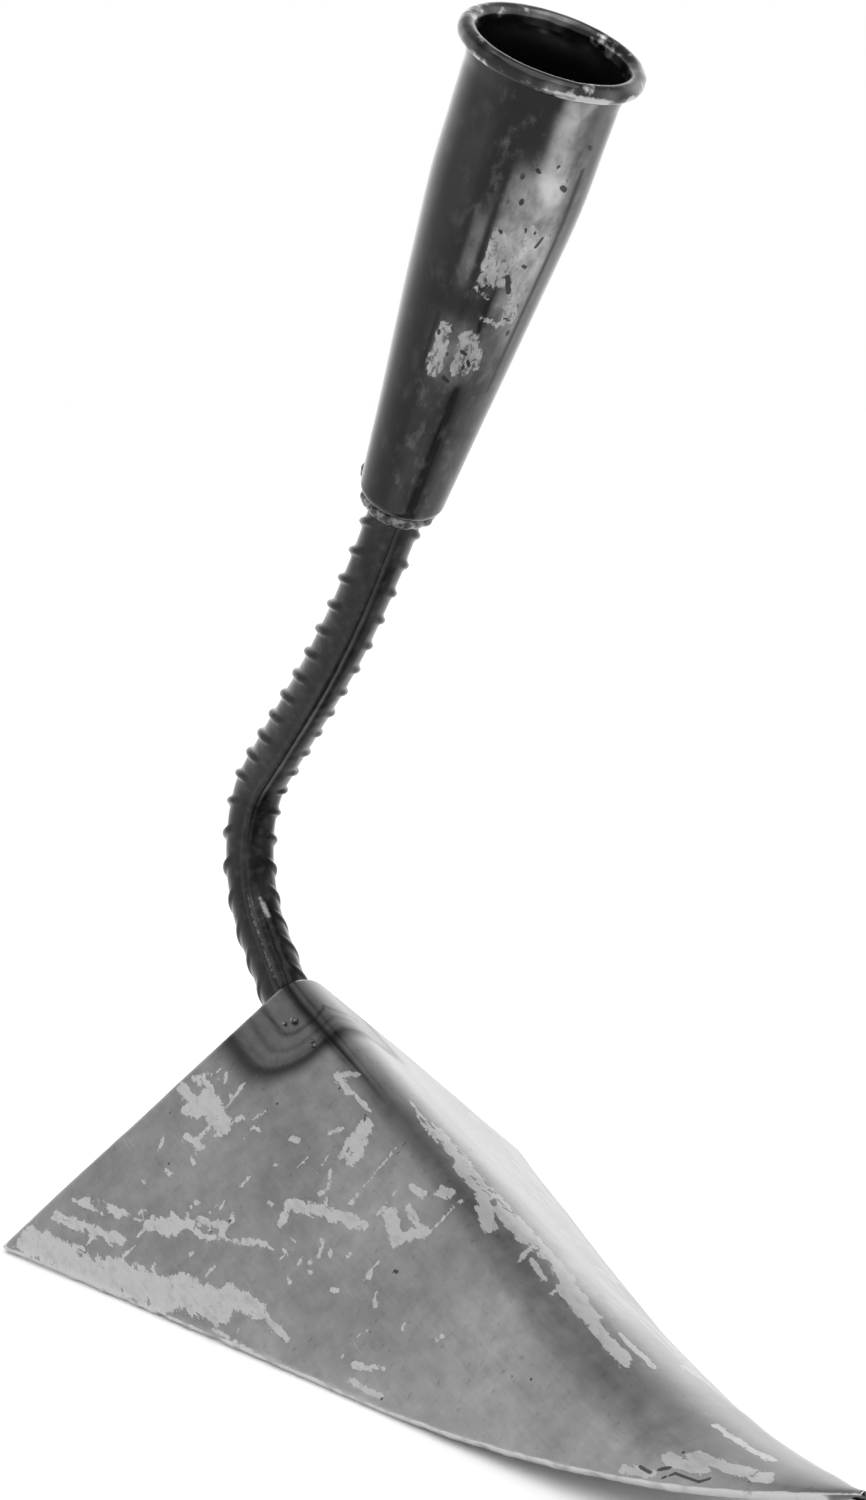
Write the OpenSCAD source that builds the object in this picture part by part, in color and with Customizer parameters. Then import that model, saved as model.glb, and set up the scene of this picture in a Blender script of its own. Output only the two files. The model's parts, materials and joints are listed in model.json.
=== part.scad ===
// Grub hoe head: a tubular handle socket, a gooseneck of ribbed bar and a folded sheet blade.
// Origin: the mouth end of the handle bore, on its axis. +X points to the blade's tip and +Z up,
// with the blade standing on level ground. Y = 0 is the plane that the tool is symmetric about.

/* [Socket] */
// Radius of the parallel bore that takes the handle
bore_r = 13.8; // [12:0.1:16]
// Length of the parallel bore
bore_length = 21; // [15:1:40]
// Length of the socket from the bore's mouth end to the lower lip
socket_length = 95; // [80:1:130]
// Outer radius at the bottom of the taper
taper_end_r = 9.2; // [8.6:0.1:11]
// Thickness of the socket's wall
wall = 1.4; // [1:0.1:1.6]
// Height of the rolled bead's centre above the bore
bead_height = 6; // [5:0.5:9]
// Angle between the handle and the vertical
handle_lean = 32; // [20:1:45]

/* [Neck] */
// Core diameter of the ribbed bar
bar_d = 11.5; // [10:0.1:12]
// Height of the crescent ribs
rib_height = 1.1; // [0.6:0.1:1.3]
// Distance from one rib to the next
rib_pitch = 8; // [6:0.5:12]
// Length of the gentle curve below the socket
upper_curve_length = 59; // [40:1:80]
// Angle that the gentle curve turns backwards
upper_curve_turn = 14.8; // [5:0.1:25]
// Length of the straight above the main bend
upper_straight = 32; // [15:1:50]
// Radius of the main bend, at the bar's centre
main_bend_r = 28.4; // [20:0.2:40]
// Angle that the main bend turns forwards
main_bend_turn = 91.7; // [70:0.1:100]
// Length of the straight below the main bend
lower_straight = 15; // [5:1:30]
// Radius of the short bend into the blade's fold
last_bend_r = 14.2; // [12:0.2:25]
// Length of bar welded under the fold
weld_run = 28; // [20:1:40]

/* [Blade] */
// Thickness of the blade's sheet
sheet = 2; // [1.5:0.1:3]
// Width between the rear corners
blade_width = 139; // [120:1:180]
// Length from the rear corners to the tip
blade_length = 211; // [190:1:240]
// Height of the fold above the ground at the rear edge
fold_height = 57.4; // [52:0.2:62]
// Distance that the rear edge leans forward at the fold
rear_lean = 11; // [0:0.5:20]
// Slope of the fold below the horizontal, behind the upturned part
fold_slope = 16.4; // [15:0.1:17]
// Distance from the rear corners to where the side edges leave the ground
edge_lift_start = 105; // [90:1:125]
// Distance from the rear corners to where the fold starts to level out
fold_lift_start = 137; // [120:1:145]
// Height of the tip above the ground
tip_height = 20; // [18:0.5:24]
// Outer radius of the fold at the rear edge
fold_r = 9.5; // [9.5:0.1:11]

/* [Hidden] */
$fn = 64;

lacquer_black = [0.11, 0.11, 0.12];
bar_black = [0.13, 0.13, 0.13];
weld_grey = [0.24, 0.24, 0.24];
worn_steel = [0.58, 0.58, 0.58];

// Socket
bead_r = 1.75;
bead_overhang = 1.2;
bead_ring_r = bore_r + wall + bead_overhang;
curl_inner_r = bead_r - wall;
curl_end_angle = -65;
lip_r = 3.2;
lip_end_angle = -75;
lip_centre = [taper_end_r - lip_r, -socket_length + lip_r];
bar_inside_socket = 18;
arc_steps = 16;

// Weld metal round the socket's lower lip
weld_lumps = 11;
weld_bead_r = 1.3;
weld_lump_r = 1.6;
weld_lump_variation = 0.25;
weld_lump_turn = 137;
weld_ring_r = bar_d / 2 + 0.9;
weld_ring_z = -socket_length - 0.5;
spatter_r = 1.9;
spatter_turn = -140;
spatter_height = 3;
spatter_sink = 0.8;

// Neck
bar_r = bar_d / 2;
rib_foot = 2.2;
rib_top = 0.8;
rib_lean = 35;
lengthwise_rib_turn = 29;
lengthwise_rib_width = 1.8;
lengthwise_rib_height = 0.9;
joint_gap = 0.1;
joint_length = 0.6;
joint_grow = 0.05;
bend_facets = 180;
fold_heading = 90 - fold_slope;
main_bend_end_heading = main_bend_turn - handle_lean - upper_curve_turn;
last_bend_turn = fold_heading - main_bend_end_heading;

// The neck's centreline below the socket, as [length, angle turned forwards] for each stretch
STRETCHES = [
    [upper_curve_length, -upper_curve_turn],
    [upper_straight, 0],
    [arc_length(main_bend_r, main_bend_turn), main_bend_turn],
    [lower_straight, 0],
    [arc_length(last_bend_r, last_bend_turn), last_bend_turn],
    [weld_run, 0]
];
neck_start = [-socket_length * sin(handle_lean), -socket_length * cos(handle_lean), -handle_lean];
neck_length = total_length(len(STRETCHES));
first_rib_at = 4.2;
ribs_under_fold = 4;
last_rib_at = neck_length - weld_run + ribs_under_fold;

// Blade: x runs forwards from the rear corners, and z up from the ground
stations = 36;
fold_steps = 6;
flat_steps = 3;
half_width = blade_width / 2;
edge_bow = 0.32;
edge_foot = 0.4 * sheet;
tip_half_width = 0.8;
tip_crown = 0.5;
fold_r_growth = 22;
fold_r_share = 0.95;
edge_lift_r = pow(blade_length - edge_lift_start, 2) / (2 * (tip_height - edge_foot));
fold_line_at_tip = fold_height - (blade_length - rear_lean) * tan(fold_slope);
fold_lift_r = pow(blade_length - fold_lift_start, 2) / (2 * (tip_height + tip_crown - fold_line_at_tip));
fold_start = heading_point(total_length(len(STRETCHES) - 1));
crest_above_bar = bar_r + rib_height + sheet;
blade_origin = [
    fold_start.x + crest_above_bar * sin(fold_slope) - rear_lean,
    0,
    fold_start.y + crest_above_bar * cos(fold_slope) - fold_height
];

// Weld fillets under the fold, measured from the bar's axis
fillet_r = 2.2;
fillet_out = 7.6;
fillet_above_wing = 35;
fillet_length = 22;
fillet_start = neck_length - weld_run + 2;
round_facets = 32;

// Length of an arc of radius r that turns by the given angle
function arc_length(r, turn) = r * turn * PI / 180;

// Length of the neck's first n stretches
function total_length(n) = n == 0 ? 0 : STRETCHES[n - 1][0] + total_length(n - 1);

// The [x, z, heading] reached from p after length d of a stretch that turns by the given angle.
// The heading is 0 straight down and grows towards +X.
function step(p, d, turn) =
    let (half = turn / 2, chord = turn == 0 ? d : 2 * (d / (turn * PI / 180)) * sin(half))
    [p.x + chord * sin(p.z + half), p.y - chord * cos(p.z + half), p.z + turn];

// The [x, z, heading] where stretch i starts
function stretch_start(i) =
    i == 0 ? neck_start : step(stretch_start(i - 1), STRETCHES[i - 1][0], STRETCHES[i - 1][1]);

// The stretch that holds the point at distance s along the neck
function stretch_at(s, i = 0) =
    i == len(STRETCHES) - 1 || s < total_length(i + 1) ? i : stretch_at(s, i + 1);

// The [x, z, heading] at distance s along the neck's centreline
function heading_point(s) =
    let (i = stretch_at(s), d = s - total_length(i), part = d / STRETCHES[i][0])
    step(stretch_start(i), d, STRETCHES[i][1] * part);

// Points on an arc about c, from angle a0 to angle a1
function arc(c, r, a0, a1, steps = arc_steps) = [
    for (k = [0:steps])
        let (a = a0 + (a1 - a0) * k / steps)
        c + r * [cos(a), sin(a)]
];

// Points on a smooth S-shaped flare from radius r0 at height 0 to radius r1 at height h
function flare(r0, r1, h) = [
    for (k = [0:arc_steps - 1])
        let (part = k / arc_steps)
        [r0 + (r1 - r0) * (1 - cos(180 * part)) / 2, h * part]
];

function reversed(list) = [for (k = [len(list) - 1:-1:0]) list[k]];

// Half of the socket's section: outside upwards, round the rolled bead, then inside downwards
function socket_section() = concat(
    arc(lip_centre, lip_r, lip_end_angle, 0),
    [[bore_r + wall, -bore_length]],
    flare(bore_r + wall, bead_ring_r - curl_inner_r, bead_height),
    arc([bead_ring_r, bead_height], curl_inner_r, 180, curl_end_angle),
    arc([bead_ring_r, bead_height], bead_r, curl_end_angle, 180),
    reversed(flare(bore_r, bead_ring_r - bead_r, bead_height)),
    [[bore_r, -bore_length]],
    arc(lip_centre, lip_r - wall, 0, lip_end_angle)
);

module along_handle() {
    rotate([0, handle_lean, 0]) children();
}

module at_neck(s) {
    p = heading_point(s);
    translate([p.x, 0, p.y]) rotate([0, 180 - p.z, 0]) children();
}

module socket() {
    color(lacquer_black) along_handle() rotate_extrude() polygon(socket_section());
}

// Weld metal between the lower lip and the bar, and one spatter lump on the socket's side
module socket_weld() {
    color(weld_grey) along_handle() {
        translate([0, 0, weld_ring_z]) rotate_extrude() translate([weld_ring_r, 0]) circle(r = weld_bead_r);
        for (k = [0:weld_lumps - 1])
            rotate([0, 0, k * 360 / weld_lumps]) translate([weld_ring_r, 0, weld_ring_z])
                sphere(r = weld_lump_r + weld_lump_variation * sin(k * weld_lump_turn), $fn = round_facets);
        rotate([0, 0, spatter_turn])
            translate([taper_end_r - spatter_sink, 0, spatter_height - socket_length])
                sphere(r = spatter_r, $fn = round_facets);
    }
}

// The bar's section: a round core with a lengthwise rib on each side, at the given angle
module bar_section(rib_angle, grow = 0) {
    circle(r = bar_r + grow);
    rotate(rib_angle)
        square([2 * (bar_r + lengthwise_rib_height + grow), lengthwise_rib_width + 2 * grow], center = true);
}

module bar_straight(s, length) {
    at_neck(s) translate([0, 0, joint_gap]) linear_extrude(length - 2 * joint_gap)
        bar_section(lengthwise_rib_turn);
}

module bar_bend(s, radius, turn) {
    p = heading_point(s);
    towards = sign(turn);
    start_angle = p.z + (towards > 0 ? 180 : 0);
    translate([p.x + towards * radius * cos(p.z), 0, p.y + towards * radius * sin(p.z)])
        rotate([90, 0, 0]) rotate([0, 0, min(start_angle, start_angle + turn)])
            rotate_extrude(angle = abs(turn), $fn = bend_facets)
                translate([radius, 0]) bar_section(-towards * lengthwise_rib_turn);
}

// A short overlap that joins a bend to the straight next to it
module bar_joint(s) {
    at_neck(s) translate([0, 0, -joint_length / 2]) linear_extrude(joint_length)
        bar_section(lengthwise_rib_turn, joint_grow);
}

// A leaning disc: it stands out of the core as two crescents and dies away at the lengthwise ribs
module crescent_ribs() {
    disc_r = bar_r + rib_height;
    rotate([0, 0, lengthwise_rib_turn]) rotate([0, -rib_lean, 0]) rotate_extrude()
        polygon([
            [0, -rib_foot / 2],
            [disc_r - rib_height, -rib_foot / 2],
            [disc_r, -rib_top / 2],
            [disc_r, rib_top / 2],
            [disc_r - rib_height, rib_foot / 2],
            [0, rib_foot / 2]
        ]);
}

module neck_bar() {
    color(bar_black) {
        along_handle() translate([0, 0, joint_gap - socket_length])
            cylinder(r = bar_r, h = bar_inside_socket);
        for (i = [0:len(STRETCHES) - 1]) {
            length = STRETCHES[i][0];
            turn = STRETCHES[i][1];
            if (turn == 0) bar_straight(total_length(i), length);
            else bar_bend(total_length(i), abs(length / turn) * 180 / PI, turn);
            bar_joint(total_length(i));
        }
        for (s = [first_rib_at:rib_pitch:last_rib_at]) at_neck(s) crescent_ribs();
    }
}

// Height gained at x by an upward curve of radius r that starts at x0
function lift(x, x0, r) = x < x0 ? 0 : pow(x - x0, 2) / (2 * r);

function edge_x(t) = blade_length * t;
function edge_y(t) = max(tip_half_width, half_width * (1 - t) * (1 + edge_bow * pow(t, 3)));
function edge_z(t) = edge_foot + lift(edge_x(t), edge_lift_start, edge_lift_r);
function crest_x(t) = rear_lean + (blade_length - rear_lean) * t;
function crest_z(t) =
    fold_height - (crest_x(t) - rear_lean) * tan(fold_slope) + lift(crest_x(t), fold_lift_start, fold_lift_r);

// Fold radius at t, kept below the one whose arc would reach the side edges
function fold_r_at(t) =
    let (w = edge_y(t), h = crest_z(t) - edge_z(t))
    min(fold_r + fold_r_growth * t * t, fold_r_share * (w * w + h * h) / (2 * h));

// Angle of the flat wing below the horizontal, tangent to the fold and through the side edge
function wing_angle(t) =
    let (w = edge_y(t), h = crest_z(t) - edge_z(t), r = fold_r_at(t))
    asin(r / norm([w, r - h])) - atan2(r - h, w);

// Half of the section at t, as [distance out, drop, angle], from the crest to the side edge
function half_section(t) =
    let (
        w = edge_y(t),
        h = crest_z(t) - edge_z(t),
        r = fold_r_at(t),
        a = wing_angle(t),
        foot = [r * sin(a), r * (1 - cos(a))]
    )
    concat(
        [for (k = [0:fold_steps]) let (b = a * k / fold_steps) [r * sin(b), r * (1 - cos(b)), b]],
        [for (k = [1:flat_steps])
            let (p = foot + ([w, h] - foot) * k / flat_steps)
            [p.x, p.y, a]]
    );

// Surface point at t: side is -1 or 1, p comes from half_section and depth is measured inwards
function blade_point(t, side, p, depth) =
    let (
        h = crest_z(t) - edge_z(t),
        part = p.y / h,
        x = crest_x(t) + (edge_x(t) - crest_x(t)) * part
    )
    [x, side * (p.x - depth * sin(p.z)), crest_z(t) - p.y - depth * cos(p.z)];

function blade_row(t, depth) =
    let (half = half_section(t))
    concat(
        [for (k = [len(half) - 1:-1:1]) blade_point(t, -1, half[k], depth)],
        [for (k = [0:len(half) - 1]) blade_point(t, 1, half[k], depth)]
    );

module blade() {
    across = 2 * (fold_steps + flat_steps) + 1;
    under = (stations + 1) * across;
    points = concat(
        [for (i = [0:stations]) each blade_row(i / stations, 0)],
        [for (i = [0:stations]) each blade_row(i / stations, sheet)]
    );
    skins = [
        for (i = [0:stations - 1], k = [0:across - 2])
            let (a = i * across + k, b = a + across)
            each [
                [a, a + 1, b + 1], [a, b + 1, b],
                [under + a, under + b + 1, under + a + 1], [under + a, under + b, under + b + 1]
            ]
    ];
    side_edges = [
        for (i = [0:stations - 1])
            let (a = i * across, b = a + across, c = a + across - 1, d = c + across)
            each [
                [a, b, under + b], [a, under + b, under + a],
                [c, under + d, d], [c, under + c, under + d]
            ]
    ];
    ends = [
        for (k = [0:across - 2])
            let (a = k, c = stations * across + k)
            each [
                [a, under + a + 1, a + 1], [a, under + a, under + a + 1],
                [c, c + 1, under + c + 1], [c, under + c + 1, under + c]
            ]
    ];
    color(worn_steel) translate(blade_origin)
        polyhedron(points = points, faces = concat(skins, side_edges, ends));
}

// A fillet down each side of the bar, in the corner between it and the wing's underside
module blade_welds() {
    color(weld_grey)
        for (side = [-1, 1])
            at_neck(fillet_start) rotate([0, 0, side * (wing_angle(0) + fillet_above_wing)])
                translate([fillet_out, 0, 0]) {
                    cylinder(r = fillet_r, h = fillet_length, $fn = round_facets);
                    sphere(r = fillet_r, $fn = round_facets);
                    translate([0, 0, fillet_length]) sphere(r = fillet_r, $fn = round_facets);
                }
}

socket();
socket_weld();
neck_bar();
blade();
blade_welds();
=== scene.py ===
import json
import math

import bmesh
import bpy
import numpy as np
from mathutils import Matrix, Vector


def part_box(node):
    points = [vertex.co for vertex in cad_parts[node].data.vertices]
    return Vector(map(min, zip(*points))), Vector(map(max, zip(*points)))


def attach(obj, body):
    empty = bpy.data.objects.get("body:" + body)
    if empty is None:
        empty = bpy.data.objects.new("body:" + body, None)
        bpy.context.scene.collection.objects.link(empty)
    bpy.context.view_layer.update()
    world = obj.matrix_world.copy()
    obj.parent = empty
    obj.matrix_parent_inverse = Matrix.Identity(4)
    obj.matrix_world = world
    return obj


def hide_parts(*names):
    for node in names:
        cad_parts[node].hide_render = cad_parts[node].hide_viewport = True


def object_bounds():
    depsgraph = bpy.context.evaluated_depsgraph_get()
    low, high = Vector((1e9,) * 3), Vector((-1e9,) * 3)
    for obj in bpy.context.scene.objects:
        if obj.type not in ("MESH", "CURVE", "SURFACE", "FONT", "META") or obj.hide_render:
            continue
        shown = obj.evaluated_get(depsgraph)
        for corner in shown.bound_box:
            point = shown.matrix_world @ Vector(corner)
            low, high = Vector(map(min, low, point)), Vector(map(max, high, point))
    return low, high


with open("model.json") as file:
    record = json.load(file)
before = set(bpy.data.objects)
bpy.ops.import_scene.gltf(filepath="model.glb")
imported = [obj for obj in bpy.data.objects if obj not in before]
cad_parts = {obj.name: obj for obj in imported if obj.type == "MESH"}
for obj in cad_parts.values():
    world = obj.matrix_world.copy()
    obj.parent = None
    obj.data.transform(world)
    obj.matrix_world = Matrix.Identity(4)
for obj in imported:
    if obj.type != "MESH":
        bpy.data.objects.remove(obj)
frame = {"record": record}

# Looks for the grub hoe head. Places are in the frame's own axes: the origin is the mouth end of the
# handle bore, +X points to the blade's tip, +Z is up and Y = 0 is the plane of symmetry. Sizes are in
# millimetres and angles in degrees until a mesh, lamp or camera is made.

MM = 0.001
cad_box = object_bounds()
seat = next(mount for mount in frame["record"]["mounts"] if mount["name"] == "handle_socket")

# Socket
BORE_R = seat["dims"]["r_mm"]
BORE_LENGTH = seat["dims"]["length_mm"]
HANDLE_LEAN = math.degrees(math.asin(seat["axis"][0]))
WALL = 1.4
SOCKET_LENGTH = 95
SOCKET_SEGMENTS = 272
TAPER_END_R = 9.2
BEAD_HEIGHT = 6
BEAD_R = 1.75
BEAD_RING_R = BORE_R + WALL + 1.2
LIP_R = 3.2
LIP_END_ANGLE = -75
CURL_END_ANGLE = -62
CURL_WAVINESS = 9
DENT_DEPTH = 0.09
JOINT_HEIGHT = 0.22

# Neck: the bar's centreline below the socket, as (length, angle turned forwards) for each stretch
BAR_R = 5.75
BAR_INSIDE_SOCKET = 18
WELD_RUN = 28
STRETCHES = (
    (59, -14.8),
    (32, 0),
    (28.4 * math.radians(91.7), 91.7),
    (15, 0),
    (14.2 * math.radians(28.7), 28.7),
    (WELD_RUN, 0),
)
RIB_PITCH = 8
FIRST_RIB_AT = 7
RIB_HEIGHT = 1.05
RIB_LEAN = 35
RIB_FOOT = 1.6
RIB_TOP = 0.2
FAR_RIB_SHARE = 0.8
LONG_RIB_HEIGHT = 0.5
LONG_RIB_ANGLE = 28
TWIST = 10
BAR_CHAMFER = 1.0
BAR_ROUGHNESS = 0.05

# Blade, with x measured forwards from the rear corners and z up from the ground. Its mesh has rows
# from the rear edge to the tip and columns from one side edge to the other.
blade_low, blade_high = (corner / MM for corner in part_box("blade"))
BLADE_ROWS = 270
BLADE_COLUMNS = 169
SHEET = 2
BLADE_LENGTH = blade_high.x - blade_low.x
HALF_WIDTH = blade_high.y
FOLD_HEIGHT = 57.4
REAR_LEAN = 11
FOLD_SLOPE = 16.4
EDGE_LIFT_START = 105
FOLD_LIFT_START = 137
TIP_HEIGHT = 20
TIP_CROWN = 0.5
TIP_HALF_WIDTH = 0.8
EDGE_FOOT = 0.8
EDGE_BOW = 0.32
FOLD_R = 9.5
FOLD_R_GROWTH = 22
SHEET_SWELL = 0.22
BLADE_ORIGIN = np.array([blade_low.x, 0, blade_high.z - FOLD_HEIGHT])


# ---------------- numbers and meshes


def smooth(low, high, x):
    """0 up to low, 1 from high on and a smooth step between them. low may be the larger of the two."""
    part = np.clip((x - low) / (high - low), 0, 1)
    return part * part * (3 - 2 * part)


def band(x, start, peak, end):
    """0 up to start and from end on, and 1 at peak."""
    return smooth(start, peak, x) * (1 - smooth(peak, end, x))


def hump(x, middle, half_width):
    """1 at middle and a bell-shaped fall to almost 0 at two half widths from it."""
    return np.exp(-(((x - middle) / half_width) ** 2))


def waves(points, wavelength, seed, count=14):
    """Smooth seeded bumps between about -1 and 1, made of waves that run in random directions."""
    rng = np.random.default_rng(seed)
    directions = rng.normal(size=(count, 3))
    directions /= np.linalg.norm(directions, axis=1)[:, None]
    numbers = 2 * math.pi / (wavelength * rng.uniform(0.7, 1.6, count))
    phases = rng.uniform(0, 2 * math.pi, count)
    angles = points @ (directions * numbers[:, None]).T + phases
    return np.sin(angles).sum(-1) * math.sqrt(2 / count) / 2


def unit(vectors):
    """The same vectors with a length of 1, or of 0 where they have none."""
    return vectors / np.maximum(np.linalg.norm(vectors, axis=-1, keepdims=True), 1e-12)


def turned(r, z, angle):
    """Points at radius r and height z, at an angle in radians round the Z axis."""
    return np.stack(np.broadcast_arrays(r * np.cos(angle), r * np.sin(angle), z), -1)


def grid_quads(rows, columns, wrap_columns=False, wrap_rows=False, first=0):
    """Quads of a grid of vertices that is stored row by row, closed on itself where it wraps."""
    r = np.arange(rows if wrap_rows else rows - 1)[:, None]
    c = np.arange(columns if wrap_columns else columns - 1)[None, :]
    next_r, next_c = (r + 1) % rows, (c + 1) % columns
    corners = [r * columns + c, r * columns + next_c, next_r * columns + next_c, next_r * columns + c]
    return np.stack(np.broadcast_arrays(*corners), -1).reshape(-1, 4) + first


def fan(ring, centre):
    """Triangles from a closed ring of vertex numbers to a centre vertex."""
    return [(int(a), int(b), centre) for a, b in zip(ring, np.roll(ring, -1))]


def capped(rings, start, end):
    """Points and faces of a closed shell, from its rings of points and the centres of its two ends."""
    rows, columns = rings.shape[:2]
    first_ring = np.arange(columns)
    last_ring = (rows - 1) * columns + first_ring
    verts = np.concatenate([rings.reshape(-1, 3), [start], [end]])
    faces = list(grid_quads(rows, columns, wrap_columns=True))
    faces += fan(first_ring, rows * columns)
    faces += fan(last_ring[::-1], rows * columns + 1)
    return verts, faces


def joined(shells):
    """One array of points and one list of faces from several closed shells."""
    verts, faces, first = [], [], 0
    for points, shell_faces in shells:
        verts.append(points)
        faces += [tuple(int(i) + first for i in face) for face in shell_faces]
        first += len(points)
    return np.concatenate(verts), faces


def face_outwards(mesh):
    """Turns every face of a mesh of closed shells to look outwards."""
    shells = bmesh.new()
    shells.from_mesh(mesh)
    bmesh.ops.recalc_face_normals(shells, faces=shells.faces)
    shells.to_mesh(mesh)
    shells.free()


def add_object(name, data):
    """A new object in the scene."""
    made = bpy.data.objects.new(name, data)
    bpy.context.scene.collection.objects.link(made)
    return made


def make_piece(name, points, faces, material, node, fields=None):
    """A smooth-shaded mesh, from points in millimetres, that stands for one CAD node."""
    mesh = bpy.data.meshes.new(name)
    mesh.from_pydata((points.reshape(-1, 3) * MM).tolist(), [], [tuple(map(int, f)) for f in faces])
    mesh.shade_smooth()
    for field, values in (fields or {}).items():
        attribute = mesh.attributes.new(field, "FLOAT", "POINT")
        attribute.data.foreach_set("value", np.asarray(values, np.float32).ravel())
    face_outwards(mesh)
    mesh.materials.append(material)
    piece = add_object(name, mesh)
    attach(piece, "root")
    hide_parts(node)


# ---------------- materials


class Nodes:
    """Builds a node tree. Each method adds one node and returns the output that later nodes read."""

    def __init__(self, tree):
        tree.nodes.clear()
        self.tree = tree

    def add(self, kind, inputs, output=0, **settings):
        """Adds a node whose inputs, named or numbered, are set to numbers or linked to outputs."""
        node = self.tree.nodes.new("ShaderNode" + kind)
        for name, value in settings.items():
            setattr(node, name, value)
        for key, value in inputs.items():
            if isinstance(value, bpy.types.NodeSocket):
                self.tree.links.new(value, node.inputs[key])
            else:
                node.inputs[key].default_value = value
        return node.outputs[output] if node.outputs else None

    def math(self, operation, a, b):
        return self.add("Math", {0: a, 1: b}, operation=operation)

    def plus(self, a, b):
        return self.math("ADD", a, b)

    def times(self, a, b):
        return self.math("MULTIPLY", a, b)

    def vary(self, base, swing, share):
        """base where share is 0 and base + swing where it is 1."""
        return self.plus(base, self.times(share, swing))

    def fade(self, share, amount):
        """1 where share is 0, falling to 1 - amount where it is 1."""
        return self.vary(1.0, -amount, share)

    def mix(self, share, a, b):
        """a where share is 0 and b where it is 1."""
        return self.add("Mix", {0: share, 2: a, 3: b}, data_type="FLOAT")

    def ramp(self, value, low, high, start=0.0, end=1.0):
        """start below low, end above high and a smooth step between them."""
        inputs = {0: value, 1: low, 2: high, 3: start, 4: end}
        return self.add("MapRange", inputs, interpolation_type="SMOOTHSTEP")

    def field(self, name):
        """A number stored on the mesh's vertices."""
        return self.add("Attribute", {}, output="Fac", attribute_name=name)

    def place(self):
        """The place on the object in millimetres."""
        here = self.add("TexCoord", {}, output="Object")
        return self.add("VectorMath", {0: here, 1: [1 / MM] * 3}, operation="MULTIPLY")

    def pair(self, x, y):
        """A place on a surface laid out flat."""
        return self.add("CombineXYZ", {0: x, 1: y, 2: 0.0})

    def noise(self, place, size, detail=3.0, roughness=0.55, distortion=0.0):
        """Cloudy noise from 0 to 1, with lumps of the given size."""
        inputs = {"Vector": place, "Scale": 1 / size, "Detail": detail, "Roughness": roughness}
        inputs["Distortion"] = distortion
        return self.add("TexNoise", inputs)

    def specks(self, place, spacing, radius):
        """1 inside scattered dots and 0 outside: spacing is the cells' size."""
        inputs = {"Vector": place, "Scale": 1 / spacing, "Randomness": 1.0}
        distance = self.add("TexVoronoi", inputs, output="Distance")
        return self.ramp(distance, radius / spacing * 0.7, radius / spacing, 1.0, 0.0)

    def bump(self, height, distance):
        """A normal for relief that is distance millimetres deep where height goes from 0 to 1."""
        return self.add("Bump", {"Height": height, "Distance": distance * MM, "Strength": 1.0})

    def surface(self, **inputs):
        """The shader and the output that end the tree. base_color is its Base Color, and so on."""
        values = {}
        for key, value in inputs.items():
            values[key.replace("_", " ").title().replace("Ior", "IOR")] = value
        shader = self.add("BsdfPrincipled", values)
        self.add("OutputMaterial", {"Surface": shader})


def new_material(name):
    """An empty material and the builder of its nodes."""
    material = bpy.data.materials.new(name)
    material.use_nodes = True
    return material, Nodes(material.node_tree)


def ragged_mask(n, peel, place, size, amount, soft=0.1):
    """Where paint is gone: the peel field with its outline torn by noise with lumps of this size."""
    tear = n.plus(n.noise(place, size, 6.0, 0.66, 0.8), -0.5)
    return n.ramp(n.plus(peel, n.times(tear, amount)), 0.0, soft)


RELIEF = 0.05


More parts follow.
